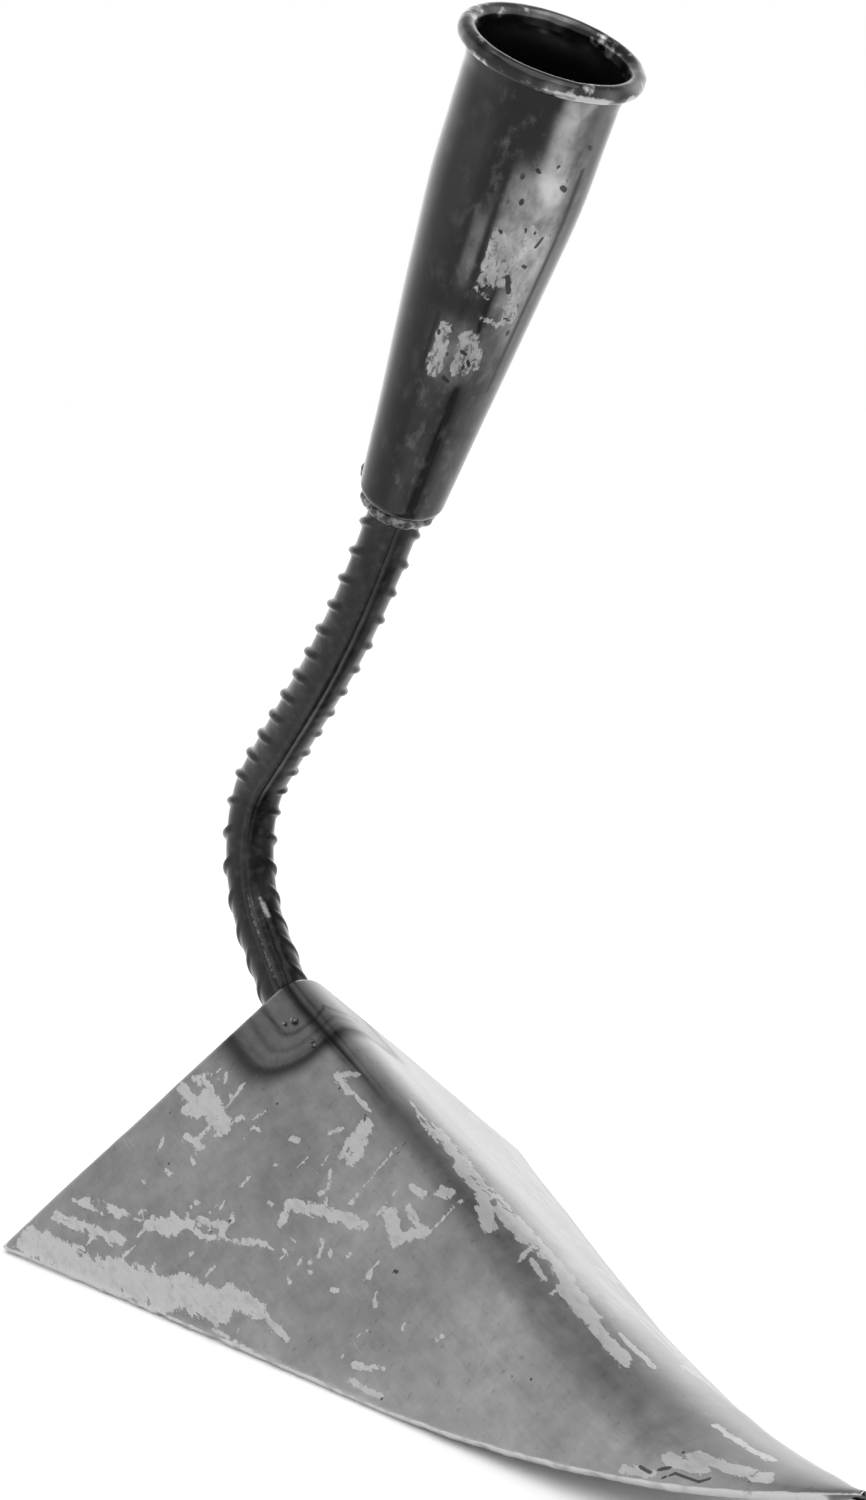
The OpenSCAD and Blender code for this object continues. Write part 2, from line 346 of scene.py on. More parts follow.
def blade_material():
    """Grey lacquer on sheet steel: clouded, peeled, pitted, scratched and heat tinted at the neck, with
    painted light and shade carried on the mesh.
    """
    material, n = new_material("blade_lacquer")
    place = n.place()
    along, out = n.field("along"), n.field("out")
    streaky = n.pair(n.times(along, 0.18), out)
    flaky = n.pair(n.times(along, 0.45), out)
    hairlike = n.pair(n.times(along, 0.03), out)
    lacquer_grey, steel_grey, pit_grey, rubbed_grey = 0.13, 0.43, 0.02, 0.5

    # Lacquer with soft clouds, fine grain and specks of grime
    mottle = n.noise(place, 4.5, 6.0)
    grain = n.noise(streaky, 0.9, 4.0)
    grime = n.ramp(n.noise(n.pair(along, n.times(out, 0.6)), 1.3, 3.0), 0.6, 0.72, 1.0, 0.78)
    lacquer = n.vary(lacquer_grey, 0.18, mottle)
    lacquer = n.times(n.plus(lacquer, n.times(grain, 0.07)), grime)
    # Painted light and shade from the mesh's shade field, together with the lacquer's real clouds and heat
    # tint
    lacquer = n.times(lacquer, n.field("shade"))

    # Bare steel where the lacquer has peeled, with islands of lacquer and a thin film left on it
    bare = ragged_mask(n, n.field("peel"), flaky, 1.5, 4.2)
    islands = n.ramp(n.noise(flaky, 1.0, 5.0, 0.7), 0.67, 0.69)
    bare = n.times(bare, n.fade(islands, 1.0))
    film = n.ramp(n.noise(flaky, 2.2, 6.0, 0.7), 0.5, 0.6)
    steel = n.vary(steel_grey, 0.12, n.noise(flaky, 1.2, 5.0))
    steel = n.times(steel, n.fade(film, 0.12))
    colour = n.mix(bare, lacquer, steel)

    # Pits and gouges, hairline scratches and rubbed edges
    pits = n.times(n.specks(place, 6.0, 0.4), n.ramp(n.noise(place, 14, 1.0), 0.54, 0.58))
    gouges = n.ramp(n.plus(n.field("gouge"), n.times(grain, 0.5)), 0.2, 0.4)
    pits = n.math("MAXIMUM", pits, gouges)
    colour = n.mix(n.times(pits, 0.85), colour, pit_grey)
    hairs = n.ramp(n.noise(hairlike, 0.35, 1.0), 0.72, 0.8)
    hairs = n.times(hairs, n.ramp(mottle, 0.42, 0.58))
    colour = n.mix(n.times(hairs, 0.45), colour, rubbed_grey)
    worn_edge = n.ramp(n.plus(n.field("edge"), n.times(mottle, 1.6)), 0.8, 1.1, 1.0, 0.0)
    colour = n.mix(worn_edge, colour, rubbed_grey)

    height = n.plus(n.times(mottle, 0.3), n.times(bare, -0.6))
    height = n.plus(n.plus(height, n.times(grain, 0.12)), n.times(pits, -1.0))
    n.surface(
        base_color=colour,
        metallic=0.85,
        roughness=n.mix(bare, n.vary(0.24, 0.16, mottle), 0.46),
        coat_weight=n.mix(bare, 0.3, 0.0),
        coat_roughness=0.2,
        normal=n.bump(height, RELIEF),
    )
    return material


def socket_material():
    """Glossy near-black lacquer with painted sheen in bands, peeled in patches to pitted grey steel."""
    material, n = new_material("socket_lacquer")
    place = n.place()
    down, around = n.field("down"), n.field("around")
    flat = n.pair(n.times(down, 0.6), around)
    lacquer_grey, steel_grey, pit_grey, rubbed_grey = 0.003, 0.04, 0.01, 0.55
    cloud = n.noise(place, 7, 5.0)
    fine = n.noise(place, 0.9, 4.0)

    # Lacquer, with a pale veil outside that is weaker on the near side's left, paler in the painted sheen
    # bands and where it is thin on the bead
    blotch = n.ramp(n.noise(flat, 5.5, 6.0, 0.6), 0.3, 0.7, 0.35, 1.25)
    thin = n.times(n.field("thin"), blotch)
    veil = n.ramp(n.noise(flat, 4.0, 6.0, 0.7), 0.5, 0.7, 0.0, 0.05)
    veil = n.times(veil, n.ramp(around, -14.5, -11, 0.35, 1.0))
    veil = n.mix(n.field("outside"), 0.006, veil)
    lacquer = n.plus(n.vary(lacquer_grey, 0.012, cloud), n.plus(veil, n.times(thin, 0.27)))

    # Peeled patches, pits and gouges, and the rubbed bead and lip, with a painted highlight on the bead's
    # lower front part
    bare = ragged_mask(n, n.field("peel"), flat, 1.3, 5.0, soft=0.7)
    steel = n.vary(steel_grey, 0.52, n.noise(flat, 2.0, 6.0, 0.7))
    colour = n.mix(bare, lacquer, steel)
    pits = n.times(n.specks(flat, 2.4, 0.5), n.ramp(n.noise(place, 5, 2.0), 0.5, 0.54))
    pits = n.times(pits, n.ramp(n.plus(thin, bare), 0.15, 0.5))
    gouges = n.ramp(n.plus(n.field("gouge"), n.times(fine, 0.7)), 0.25, 0.45)
    pits = n.math("MAXIMUM", pits, gouges)
    colour = n.mix(n.times(pits, 0.9), colour, pit_grey)
    # Rubbed metal on the bead and lip, raised to a painted highlight on the bead's lower front part
    rubbed = n.ramp(n.plus(n.field("wear"), n.times(n.noise(place, 3.0, 4.0), 1.2)), 1.1, 1.3)
    colour = n.mix(n.times(rubbed, 0.75), colour, rubbed_grey)

    # Marks drawn along the tube, in the gloss and the relief
    drawn = n.noise(n.pair(n.times(down, 0.05), around), 0.45, 3.0)
    gloss = n.plus(n.times(cloud, 0.16), n.times(drawn, 0.1))
    height = n.plus(n.times(fine, 0.12), n.times(cloud, 0.8))
    height = n.plus(height, n.times(drawn, 0.12))
    height = n.plus(height, n.times(bare, -0.5))
    height = n.plus(height, n.times(pits, -1.4))
    n.surface(
        base_color=colour,
        metallic=0.75,
        roughness=n.mix(bare, n.plus(0.08, gloss), 0.4),
        coat_weight=n.mix(bare, 0.25, 0.1),
        coat_roughness=0.07,
        specular_ior_level=0.3,
        normal=n.bump(height, RELIEF),
    )
    return material


def bar_material():
    """Near-black lacquer over hot-rolled scale, rubbed pale on the ribs, with pale scuffs that are partly
    a painted highlight, a painted highlight along the front rib, and dull in one long strip.
    """
    material, n = new_material("bar_lacquer")
    place = n.place()
    lacquer_grey, rubbed_grey, scuff_and_highlight_grey = 0.003, 0.3, 0.17
    fine = n.noise(place, 0.8, 4.0)
    cloud = n.noise(place, 6, 5.0)
    lumps = n.noise(place, 2.6, 3.0)
    scale = n.ramp(n.noise(place, 2.2, 6.0, 0.65), 0.45, 0.7, 0.0, 0.016)
    colour = n.plus(n.vary(lacquer_grey, 0.012, cloud), scale)
    rubbed = n.ramp(n.plus(n.field("proud"), cloud), 1.2, 1.6)
    colour = n.mix(n.times(rubbed, 0.35), colour, rubbed_grey)
    # Scuffs that are partly a painted highlight, and a painted highlight along the front rib
    scuffed_and_highlit = ragged_mask(n, n.field("peel"), place, 0.9, 2.6, soft=0.9)
    colour = n.mix(scuffed_and_highlit, colour, scuff_and_highlight_grey)
    gloss = n.fade(n.field("dull"), 0.85)
    height = n.plus(n.plus(n.times(fine, 0.15), n.times(lumps, 0.5)), n.times(cloud, 1.2))
    n.surface(
        base_color=colour,
        metallic=0.6,
        roughness=n.vary(0.12, 0.24, cloud),
        coat_weight=n.times(gloss, 0.2),
        coat_roughness=0.1,
        specular_ior_level=n.times(gloss, 0.3),
        normal=n.bump(height, RELIEF),
    )
    return material


def weld_material():
    """Grey weld metal under thin lacquer, burnt dark in random patches."""
    material, n = new_material("weld_metal")
    place = n.place()
    fine = n.noise(place, 0.7, 4.0)
    n.surface(
        base_color=n.ramp(n.noise(place, 1.6, 5.0), 0.35, 0.7, 0.012, 0.2),
        metallic=0.7,
        roughness=n.vary(0.14, 0.22, fine),
        coat_weight=0.4,
        coat_roughness=0.15,
        normal=n.bump(fine, 4 * RELIEF),
    )
    return material


# ---------------- blade


def lift(x, start, end, height):
    """Rise at x of an upward curve that begins at start and reaches the given height at end."""
    return height * (np.maximum(x - start, 0) / (end - start)) ** 2


def edge_line(t):
    """Side edge of the blade at t, as (x, distance out, z)."""
    x = BLADE_LENGTH * t
    out = np.maximum(TIP_HALF_WIDTH, HALF_WIDTH * (1 - t) * (1 + EDGE_BOW * t**3))
    return x, out, EDGE_FOOT + lift(x, EDGE_LIFT_START, BLADE_LENGTH, TIP_HEIGHT - EDGE_FOOT)


def crest_line(t):
    """Crest of the fold at t, as (x, z)."""
    x = REAR_LEAN + (BLADE_LENGTH - REAR_LEAN) * t
    slope = math.tan(math.radians(FOLD_SLOPE))
    straight = FOLD_HEIGHT - (x - REAR_LEAN) * slope
    gained = TIP_HEIGHT + TIP_CROWN - FOLD_HEIGHT + (BLADE_LENGTH - REAR_LEAN) * slope
    return x, straight + lift(x, FOLD_LIFT_START, BLADE_LENGTH, gained)


def blade_surface(t, q):
    """Outer surface: t runs from the rear edge to the tip and q from -1 at one edge to 1 at the other.
    Returns the points and the distance along the surface from the crest."""
    edge_x, width, edge_z = edge_line(t)
    crest_x, crest_z = crest_line(t)
    height = crest_z - edge_z
    all_arc_r = (width**2 + height**2) / (2 * height)
    r = np.minimum(FOLD_R + FOLD_R_GROWTH * t * t, 0.95 * all_arc_r)
    wing = np.arcsin(r / np.hypot(width, r - height)) - np.arctan2(r - height, width)
    foot_out, foot_drop = r * np.sin(wing), r * (1 - np.cos(wing))
    flat = np.hypot(width - foot_out, height - foot_drop)
    distance = np.abs(q) * (r * wing + flat)
    turned = np.minimum(distance / r, wing)
    beyond = np.maximum(distance - r * wing, 0)
    out = r * np.sin(turned) + beyond * np.cos(wing)
    drop = r * (1 - np.cos(turned)) + beyond * np.sin(wing)
    x = crest_x + (edge_x - crest_x) * drop / height
    points = np.stack(np.broadcast_arrays(x, np.sign(q) * out, crest_z - drop), -1)
    return points, np.broadcast_to(distance, points.shape[:2])


# Peeled strokes on the near wing, as (from, to, half width), each end as (forwards, outwards)
EDGE_STROKES = (
    ((4, 65.4), (32, 57.4), 2.5),
    ((30, 56.8), (50, 50.6), 2.7),
    ((48, 49.4), (64, 44.4), 2.5),
    ((60, 43), (71, 40.4), 1.4),
    ((70, 40.6), (82, 39.3), 0.6),
    ((64, 47.6), (80, 44.4), 0.4),
    ((6, 59.4), (28, 52), 0.9),
    ((7, 55.2), (22, 50.4), 0.45),
    ((9, 53.4), (30, 46.6), 0.4),
    ((30, 46.8), (38, 43.6), 1.3),
    ((34, 44), (40, 41.4), 0.9),
    ((38, 42), (47, 40.4), 0.5),
    ((40, 40), (48, 37), 0.7),
    ((47, 39.6), (58, 35), 0.35),
    ((56, 35.4), (60, 33.6), 0.6),
    ((60, 34), (66, 31.6), 0.25),
)
UPPER_STROKES = (
    ((9, 26.6), (14, 25.4), 0.6),
    ((8, 29.5), (18, 28.5), 1.0),
    ((14, 31), (19, 29.5), 0.9),
    ((16, 27), (28, 27.6), 1.9),
    ((20, 33.6), (27, 32.6), 0.7),
    ((24, 29.5), (24, 32), 0.7),
    ((23, 20.6), (24, 25.4), 0.4),
    ((10, 26), (14, 22.4), 0.35),
    ((34.4, 23.4), (35, 26.6), 0.3),
    ((15, 36.8), (16.6, 38.4), 0.5),
)
MIDDLE_STROKES = (
    ((43, 7.6), (49, 8), 0.7),
    ((49, 7.8), (58, 7.2), 0.4),
    ((44.4, 6.8), (47.6, 4.8), 0.6),
    ((60, 10.6), (62.6, 13.6), 2.2),
    ((58.6, 13), (60, 15.4), 0.7),
    ((53, 14.6), (55, 12.6), 0.5),
    ((70.6, 8), (71, 19.6), 0.25),
    ((71, 17), (71.2, 19), 0.6),
    ((57, 17), (58, 20.4), 0.25),
    ((57.6, 26.8), (59.6, 29), 1.1),
    ((58, 26.4), (66, 23.6), 1.0),
    ((65, 24), (78, 19.8), 1.0),
    ((70, 22), (75, 20), 1.0),
    ((60, 18), (66, 22.4), 0.35),
    ((84, 13), (91, 13.4), 0.6),
    ((81, 15.6), (88, 17.2), 1.3),
    ((88, 16.4), (92, 13.4), 1.1),
    ((93, 13), (93.6, 5.6), 0.3),
    ((81, 10.6), (85.4, 9.6), 0.6),
    ((88, 7.4), (90.4, 6.6), 1.0),
    ((78.6, 12.4), (79, 17), 0.3),
    ((99, 33.6), (106, 30.6), 0.3),
    ((98, 34.6), (104, 32), 0.25),
    ((101, 35.6), (110, 33.2), 0.5),
)
TIP_STROKES = (
    ((166, 15.8), (172, 14), 0.7),
    ((172, 11), (180, 8.6), 1.2),
    ((176, 8), (192, 4.6), 1.3),
)

# Peeled strokes along the crest, where out is negative on the far side
CREST_STROKES = (
    ((62, -0.5), (74, 0), 0.3),
    ((72, -1.5), (86, 0.5), 1.0),
    ((85, 1.4), (93, 1.4), 1.0),
    ((95, 1.4), (103, 5), 1.6),
    ((100, 0.8), (110, 0.4), 1.5),
    ((112, 0), (114, 4.6), 0.5),
    ((104, -1.6), (122, -2), 1.2),
    ((120, -1), (134, 1), 1.8),
    ((125, 1.4), (147, 2.2), 1.5),
    ((115, 2.6), (121, 3.4), 0.6),
    ((124, 2), (125, 4.4), 0.4),
    ((140, -1.6), (150, -2), 0.7),
    ((171, -0.4), (188, 0.2), 0.8),
)

# Peeled strokes under the blade, the same on both wings
UNDER_STROKES = (
    ((3, 67.4), (30, 59.8), 0.8),
    ((36, 58.2), (52, 53.6), 0.5),
    ((86, 43), (104, 37.4), 0.4),
)

# Pits and gouges with dark bottoms, on the far side where out is negative, and painted shadow lines along
# the lower edges of the flaked patches at the tip
GOUGES_AND_SHADOW_LINES = (
    ((92.2, 20.6), (93.2, 20.2), 0.35),
    ((11.4, 33.4), (11.6, 33), 0.4),
    ((17, 21.4), (17.3, 22.2), 0.25),
    ((24, 30), (24.2, 30.8), 0.3),
    ((23.6, 22.2), (23.9, 23), 0.2),
    ((28, 26), (28.6, 26.4), 0.25),
    ((57.4, 8.2), (58.4, 9), 0.3),
    ((71.6, 6.4), (71.9, 8.6), 0.25),
    # The next five are painted shadow lines along the lower edges of the flaked patches at the tip
    ((168.6, 14.2), (171.6, 13.8), 0.3),
    ((172.4, 12.8), (174, 11.6), 0.35),
    ((174, 13.6), (175.4, 12.2), 0.25),
    ((175.6, 11.8), (181, 10.8), 0.25),
    ((181.2, 10.8), (182.6, 9.4), 0.3),
    ((62.4, -16), (64, -16.6), 0.35),
    ((69.6, -15), (71.4, -15.8), 0.35),
)


def far_strokes():
    """Seeded peeled strokes for the far wing, which runs to the same wear as the near one."""
    rng = np.random.default_rng(7)
    strokes = [((3, 64), (38, 52), 3.6), ((36, 54), (88, 37), 2.6), ((120, 25), (150, 17), 1.8)]
    for _ in range(26):
        start = np.array([rng.uniform(8, 150), 0.0])
        start[1] = rng.uniform(0.5, 0.9) * HALF_WIDTH * (1 - start[0] / BLADE_LENGTH)
        turn = math.radians(rng.normal(-20, 35))
        length = rng.uniform(2, 12)
        end = start + length * np.array([math.cos(turn), math.sin(turn)])
        strokes.append((tuple(start), tuple(end), rng.uniform(0.4, 2.0)))
    return strokes


def from_line(x, out, start, end):
    """Distance from a straight line between two points."""
    (x0, out0), (x1, out1) = start, end
    run = (x1 - x0) ** 2 + (out1 - out0) ** 2
    part = np.clip(((x - x0) * (x1 - x0) + (out - out0) * (out1 - out0)) / run, 0, 1)
    return np.hypot(x - x0 - part * (x1 - x0), out - out0 - part * (out1 - out0))


IN_STROKE = 0.7
NO_STROKE = -3.0


def stroke_field(x, out, strokes, soft=0.35):
    """Above 0 inside the strokes and below 0 outside them, changing faster at narrow strokes."""
    best = np.full(x.shape, NO_STROKE)
    for start, end, half_width in strokes:
        distance = from_line(x, out, start, end)
        best = np.maximum(best, (half_width - distance) / (0.4 * half_width + soft))
    return np.minimum(best, IN_STROKE)


# The welds' heat spread from a line between two (forwards, outwards). The crease is beside the crest.
HEAT_LINE = ((6, 5), (20, 4.5))
CREASE_OUT = 4
CREASE_END = 46
CREASE_DEPTH = 0.45


def crease_field(x, out):
    """1 in the pressed line beside the crest and 0 away from it."""
    line = CREASE_OUT - 1.2 * (1 - smooth(0, 20, x))
    half_width = 1.0 - 0.4 * smooth(CREASE_END - 14, CREASE_END + 6, x)
    fade = 1 - smooth(CREASE_END - 8, CREASE_END + 22, x)
    return hump(out, line, half_width) * fade


def heat_tint(points):
    """How much the welds' heat darkened the lacquer: rings round the bar's end under the fold."""
    distance = from_line(points[..., 0], np.abs(points[..., 1]), *HEAT_LINE)
    distance = distance + 0.4 * waves(points, 16, seed=8)
    grey = 0.45 * (1 - smooth(10, 18, distance))
    thin_rings = 0.42 * band(distance, 4.4, 5.3, 6.2) + 0.24 * band(distance, 7.8, 8.8, 9.8)
    thin_rings = thin_rings + 0.2 * band(distance, 10.4, 11.2, 12)
    return np.minimum(grey + thin_rings + 0.68 * band(distance, 11.2, 13.2, 18), 0.93)


def flecks(seed, count, inner_out):
    """Small seeded strokes where the lacquer has chipped, all more than inner_out from the crest."""
    rng = np.random.default_rng(seed)
    strokes = []
    for _ in range(count):
        x = rng.triangular(4, 20, 130)
        widest = 0.97 * HALF_WIDTH * (1 - x / BLADE_LENGTH)
        out = inner_out + rng.uniform(0, 1) * max(widest - inner_out, 0)
        turn = math.radians(rng.normal(-25, 40))
        length = rng.uniform(0.4, 3.2)
        end = (x + length * math.cos(turn), out + length * math.sin(turn))
        strokes.append(((x, out), end, rng.uniform(0.15, 0.55)))
    return strokes


def closed_sheet(outer, inner, bulge, steps=5):
    """A closed shell from two grids of points, with its cut edges rounded by bulge.
    Returns the points, the faces and the grid position that each point was made from."""
    rows, columns = outer.shape[:2]
    ring = np.concatenate([
        np.arange(columns - 1),
        np.arange(rows - 1) * columns + columns - 1,
        (rows - 1) * columns + np.arange(columns - 1, 0, -1),
        np.arange(rows - 1, 0, -1) * columns,
    ])
    top, under = outer.reshape(-1, 3), inner.reshape(-1, 3)
    middle, half = (top[ring] + under[ring]) / 2, (top[ring] - under[ring]) / 2
    tangent = unit(np.roll(middle, -1, 0) - np.roll(middle, 1, 0))
    outward = unit(np.cross(unit(half), tangent))
    if ((middle - middle.mean(0)) * outward).sum() < 0:
        outward = -outward
    points, sources = [top, under], [np.arange(len(top))] * 2
    for step in range(1, steps + 1):
        angle = math.pi * step / (steps + 1)
        points.append(middle + half * math.cos(angle) + outward * bulge[ring, None] * math.sin(angle))
        sources.append(ring)
    rings = [ring]
    rings += [2 * len(top) + step * len(ring) + np.arange(len(ring)) for step in range(steps)]
    rings.append(ring + len(top))
    faces = [grid_quads(rows, columns)[:, ::-1], grid_quads(rows, columns, first=len(top))]
    for a, b in zip(rings, rings[1:]):
        faces.append(np.stack([a, np.roll(a, -1), np.roll(b, -1), b], -1)[:, ::-1])
    return np.concatenate(points), np.concatenate(faces), np.concatenate(sources)


def outer_peel(x, near):
    """Where the blade's outer side is peeled. near is the distance out, negative on the far wing."""
    near_strokes = list(EDGE_STROKES + UPPER_STROKES + MIDDLE_STROKES + TIP_STROKES + CREST_STROKES)
    near_strokes += flecks(seed=9, count=60, inner_out=18)
    far_side = far_strokes() + flecks(seed=10, count=40, inner_out=28)
    peel = np.where(near > -4, stroke_field(x, near, near_strokes), stroke_field(x, -near, far_side))
    crest_wear = hump(near, -0.4, 3.9) * smooth(44, 76, x) * (1 - smooth(106, 150, x))
    return np.maximum(peel, 2.4 * crest_wear - 2.1)


def under_peel(x, near):
    """Where the blade's underside is peeled."""
    strokes = list(UNDER_STROKES) + flecks(seed=12, count=60, inner_out=12)
    return stroke_field(x, np.abs(near), strokes)


def lacquer_shade(points, x, near):
    """Brightness of the blade's lacquer: cloudy, with painted light forwards and on the far wing, a
    painted dark reflection beside the crest and painted shade along the crest at the tip."""
    clouds = 1 + 0.14 * waves(points, 30, seed=6) + 0.05 * waves(points, 9, seed=2)
    beside_crest = hump(near, 4.5, 3) * smooth(20, 60, x) * (1 - smooth(95, 125, x))
    paler = 0.86 + 0.3 * smooth(20, 110, x) * smooth(2, 14, near) + 0.3 * smooth(1, -6, near)
    crest_at_tip = smooth(128, 176, x) * smooth(9, 1, near)
    return clouds * paler * (1 - 0.4 * crest_at_tip) * (1 - 0.22 * beside_crest)


def make_blade():
    """The folded sheet: an outer and an inner skin, joined by rounded and nicked cut edges."""
    t = np.linspace(0, 1, BLADE_ROWS)[:, None]
    u = np.linspace(-1, 1, BLADE_COLUMNS)[None, :]
    q = np.sign(u) * np.abs(u) ** 1.5  # closer together at the crest
    plain, distance = blade_surface(t, q)
    x, near = plain[..., 0], -plain[..., 1]

    normals = unit(np.cross(np.gradient(plain, axis=0), np.gradient(plain, axis=1)))
    normals *= np.sign(normals[..., 2:])
    crease = crease_field(x, near)
    swell = SHEET_SWELL * waves(plain, 46, seed=3) + 0.05 * waves(plain, 17, seed=4)
    swell = swell * (0.4 + 0.6 * smooth(0, 6, distance))
    outer = plain + normals * (swell - CREASE_DEPTH * crease)[..., None]
    nicks = waves(outer, 5, seed=5) ** 3
    bulge = (0.32 + 0.35 * np.clip(nicks, -0.8, 0.4)).ravel()
    outer = outer + BLADE_ORIGIN
    verts, faces, source = closed_sheet(outer, outer - normals * SHEET, bulge)

    from_edge = (1 - np.abs(q)) * distance / np.maximum(np.abs(q), 1e-6)
    from_edge = np.minimum(from_edge, x - REAR_LEAN * (1 - np.abs(q)))
    from_edge = np.minimum(from_edge, (1 - t) * BLADE_LENGTH)
    # Painted light and shade from lacquer_shade, and painted shade in the crease; the heat tint is the
    # lacquer's real colour
    shade = lacquer_shade(outer, x, near) * (1 - heat_tint(plain)) * (1 - 0.9 * crease)
    is_outer = np.arange(len(verts)) < x.size
    on_skin = np.arange(len(verts)) < 2 * x.size
    # Painted shade on the inner skin and cut edges at the tip's underside; it also keeps the pale worn
    # edge off there
    tip_underside_shade = smooth(200, 224, x.ravel()[source]) * ~is_outer
    peel = np.where(is_outer, outer_peel(x, near).ravel()[source], under_peel(x, near).ravel()[source])
    fields = {
        "along": x.ravel()[source],
        "out": (np.sign(q) * distance).ravel()[source],
        "edge": from_edge.ravel()[source] * on_skin + 3 * tip_underside_shade,
        "shade": shade.ravel()[source] * (1 - 0.75 * tip_underside_shade),
        "peel": peel,
        "gouge": np.where(is_outer, stroke_field(x, near, GOUGES_AND_SHADOW_LINES).ravel()[source], NO_STROKE),
    }
    make_piece("blade_sheet", verts, faces, blade_material(), "blade", fields)


# ---------------- socket

HANDLE_TURN = Matrix.Rotation(math.radians(HANDLE_LEAN), 3, "Y")


def along_handle(points):
    """From the socket's own axes, with its axis on Z, to the frame's."""
    return points @ np.array(HANDLE_TURN).T


def on_circle(centre_r, centre_z, r, angle):
    """The point (r, z) at an angle in degrees on a circle of the socket's section."""
    return centre_r + r * np.cos(np.radians(angle)), centre_z + r * np.sin(np.radians(angle))


def arc(centre_r, centre_z, r, start, end, steps):
    """Points on an arc of the socket's section. start and end may vary round the socket."""
    part = np.linspace(0, 1, steps)[:, None]
    return np.stack(on_circle(centre_r, centre_z, r, start + (end - start) * part), -1)


def wall_line(r_offset, steps, up):
    """Points on one face of the wall, from the lower lip to the start of the flare or back."""
    part = np.linspace(0, 1, steps)[:, None]
    z = -SOCKET_LENGTH + LIP_R + part * (SOCKET_LENGTH - LIP_R)
    slope = (BORE_R + WALL - TAPER_END_R) / (SOCKET_LENGTH - LIP_R - BORE_LENGTH)
    softness = 2.0
    below = softness * np.log1p(np.exp((-BORE_LENGTH - z) / softness))
    line = np.stack([BORE_R + WALL - slope * below + r_offset, z], -1)
    return line if up else line[::-1]


def flare(r0, r1, steps, up):
    """Points on the smooth flare from the bore's mouth to the rolled bead."""
    part = np.linspace(0, 1, steps)[:, None]
    line = np.stack([r0 + (r1 - r0) * smooth(0, 1, part), BEAD_HEIGHT * part], -1)
    return line if up else line[::-1]


BEAD_JOINT = -14
ARC_PER_DEGREE = 0.23

# Peeled patches of the socket, as (from, to, half width), each end as (down, angle round). Angles are
# in degrees from the front and are negative on the near side.
SOCKET_PATCHES = (
    ((25, -29), (35, -29), 1.7),
    ((24, -17), (34, -18), 2.0),
    ((22, -7), (24, -1), 0.8),
    ((30, -6), (43, 1), 1.2),
    ((34, 4), (43, 8), 0.9),
    ((37, -33), (38.5, -20), 0.5),
    ((43, -18), (44, -4), 0.7),
    ((48, -47), (57, -45), 1.8),
    ((47, -28), (56, -26), 1.1),
    ((48, -19), (55, -16), 1.3),
    ((50, -10), (54, -8), 0.9),
)

# Bands of painted sheen on the socket's lacquer, as (down, half length, angle, half angle, amount)
SHEEN_BANDS = (
    (21, 10, -11, 24, 0.85),
    (3, 15, -5, 12, 0.95),
    (34, 12, 1, 15, 0.65),
    (20, 34, 14, 13, 0.35),
    (29, 8, -45, 6, 0.3),
    (52, 7, -30, 26, 0.3),
    (75, 30, -38, 14, 0.07),
    (75, 36, 8, 16, 0.14),
    (4, 26, -68, 12, 0.05),
)

# Dark streaks, where the painted sheen bands and the peeled patches stop, as (from, to, half width), each
# end as (down, angle round)
DARK_STREAKS = (
    ((0, -43), (16, -42), 1.1),
    ((12, -38), (44, -37), 0.35),
    ((45, -56), (95, -61), 0.3),
    ((60, -18), (75, -17), 0.5),
    ((75, -17), (95, -15), 1.2),
    ((10, 19), (60, 17), 0.35),
)

# Gouges in the socket with black bottoms, as (from, to, half width), each end as (down, angle round)
SOCKET_GOUGES = (
    ((5, 16), (5.4, 19), 0.45),
    ((10.4, -19), (10.8, -17), 0.35),
    ((13.2, 4.5), (13.8, 8), 0.5),
    ((24, -30), (24.2, -28.6), 0.35),
    ((26, 1), (24, 4), 0.3),
    ((30.2, -3), (30.6, 0), 0.35),
    ((33, -12), (36.4, -6), 0.5),
    ((42.4, 0), (42.8, 6), 0.3),
    ((44, -20), (46, -18), 0.4),
    ((51.2, -26), (51.6, -22), 0.45),
    ((53, -18), (54, -15), 0.4),
    ((58, -34), (58.6, -29), 0.5),
)


def socket_strokes(strokes):
    """Strokes with their angles turned into millimetres round the socket."""
    return [((a, b * ARC_PER_DEGREE), (c, d * ARC_PER_DEGREE), w) for (a, b), (c, d), w in strokes]


def painted_sheen_bands(down, turn):
    """How strong the socket's painted sheen is, from 0 to about 1."""
    thin = np.zeros(down.shape)
    for middle, length, angle, width, amount in SHEEN_BANDS:
        thin = thin + amount * np.exp(-(((down - middle) / length) ** 4) - ((turn - angle) / width) ** 4)
    return thin


def socket_section(curl_end):
    """The wall's section all round the socket, as (r, z), with the number of rows on its outside.
    The rolled edge ends at the angle curl_end, which varies round the socket."""
    curl_r = BEAD_R - WALL
    bead = (BEAD_RING_R, BEAD_HEIGHT)
    bead_edge = on_circle(*bead, (BEAD_R + curl_r) / 2, curl_end)
    lip = (TAPER_END_R - LIP_R, LIP_R - SOCKET_LENGTH)
    lip_edge = on_circle(*lip, LIP_R - WALL / 2, LIP_END_ANGLE)
    outside = [
        arc(*lip, LIP_R, LIP_END_ANGLE, 0, steps=14)[:-1],
        wall_line(0, steps=170, up=True)[:-1],
        flare(BORE_R + WALL, BEAD_RING_R - curl_r, steps=26, up=True)[:-1],
    ]
    rolled = [
        arc(*bead, curl_r, 180, curl_end, steps=14),
        arc(*bead_edge, WALL / 2, curl_end - 180, curl_end, steps=8)[1:-1],
        arc(*bead, BEAD_R, curl_end, 180, steps=32),
    ]
    inside = [
        flare(BORE_R, BEAD_RING_R - BEAD_R, steps=26, up=False)[1:],
        wall_line(-WALL, steps=50, up=False)[1:],
        arc(*lip, LIP_R - WALL, 0, LIP_END_ANGLE, steps=12)[1:],
        arc(*lip_edge, WALL / 2, LIP_END_ANGLE + 180, LIP_END_ANGLE + 360, steps=8)[1:-1],
    ]
    parts = [np.broadcast_to(part, (len(part), SOCKET_SEGMENTS, 2)) for part in outside + rolled + inside]
    return np.concatenate(parts), sum(len(part) for part in outside)


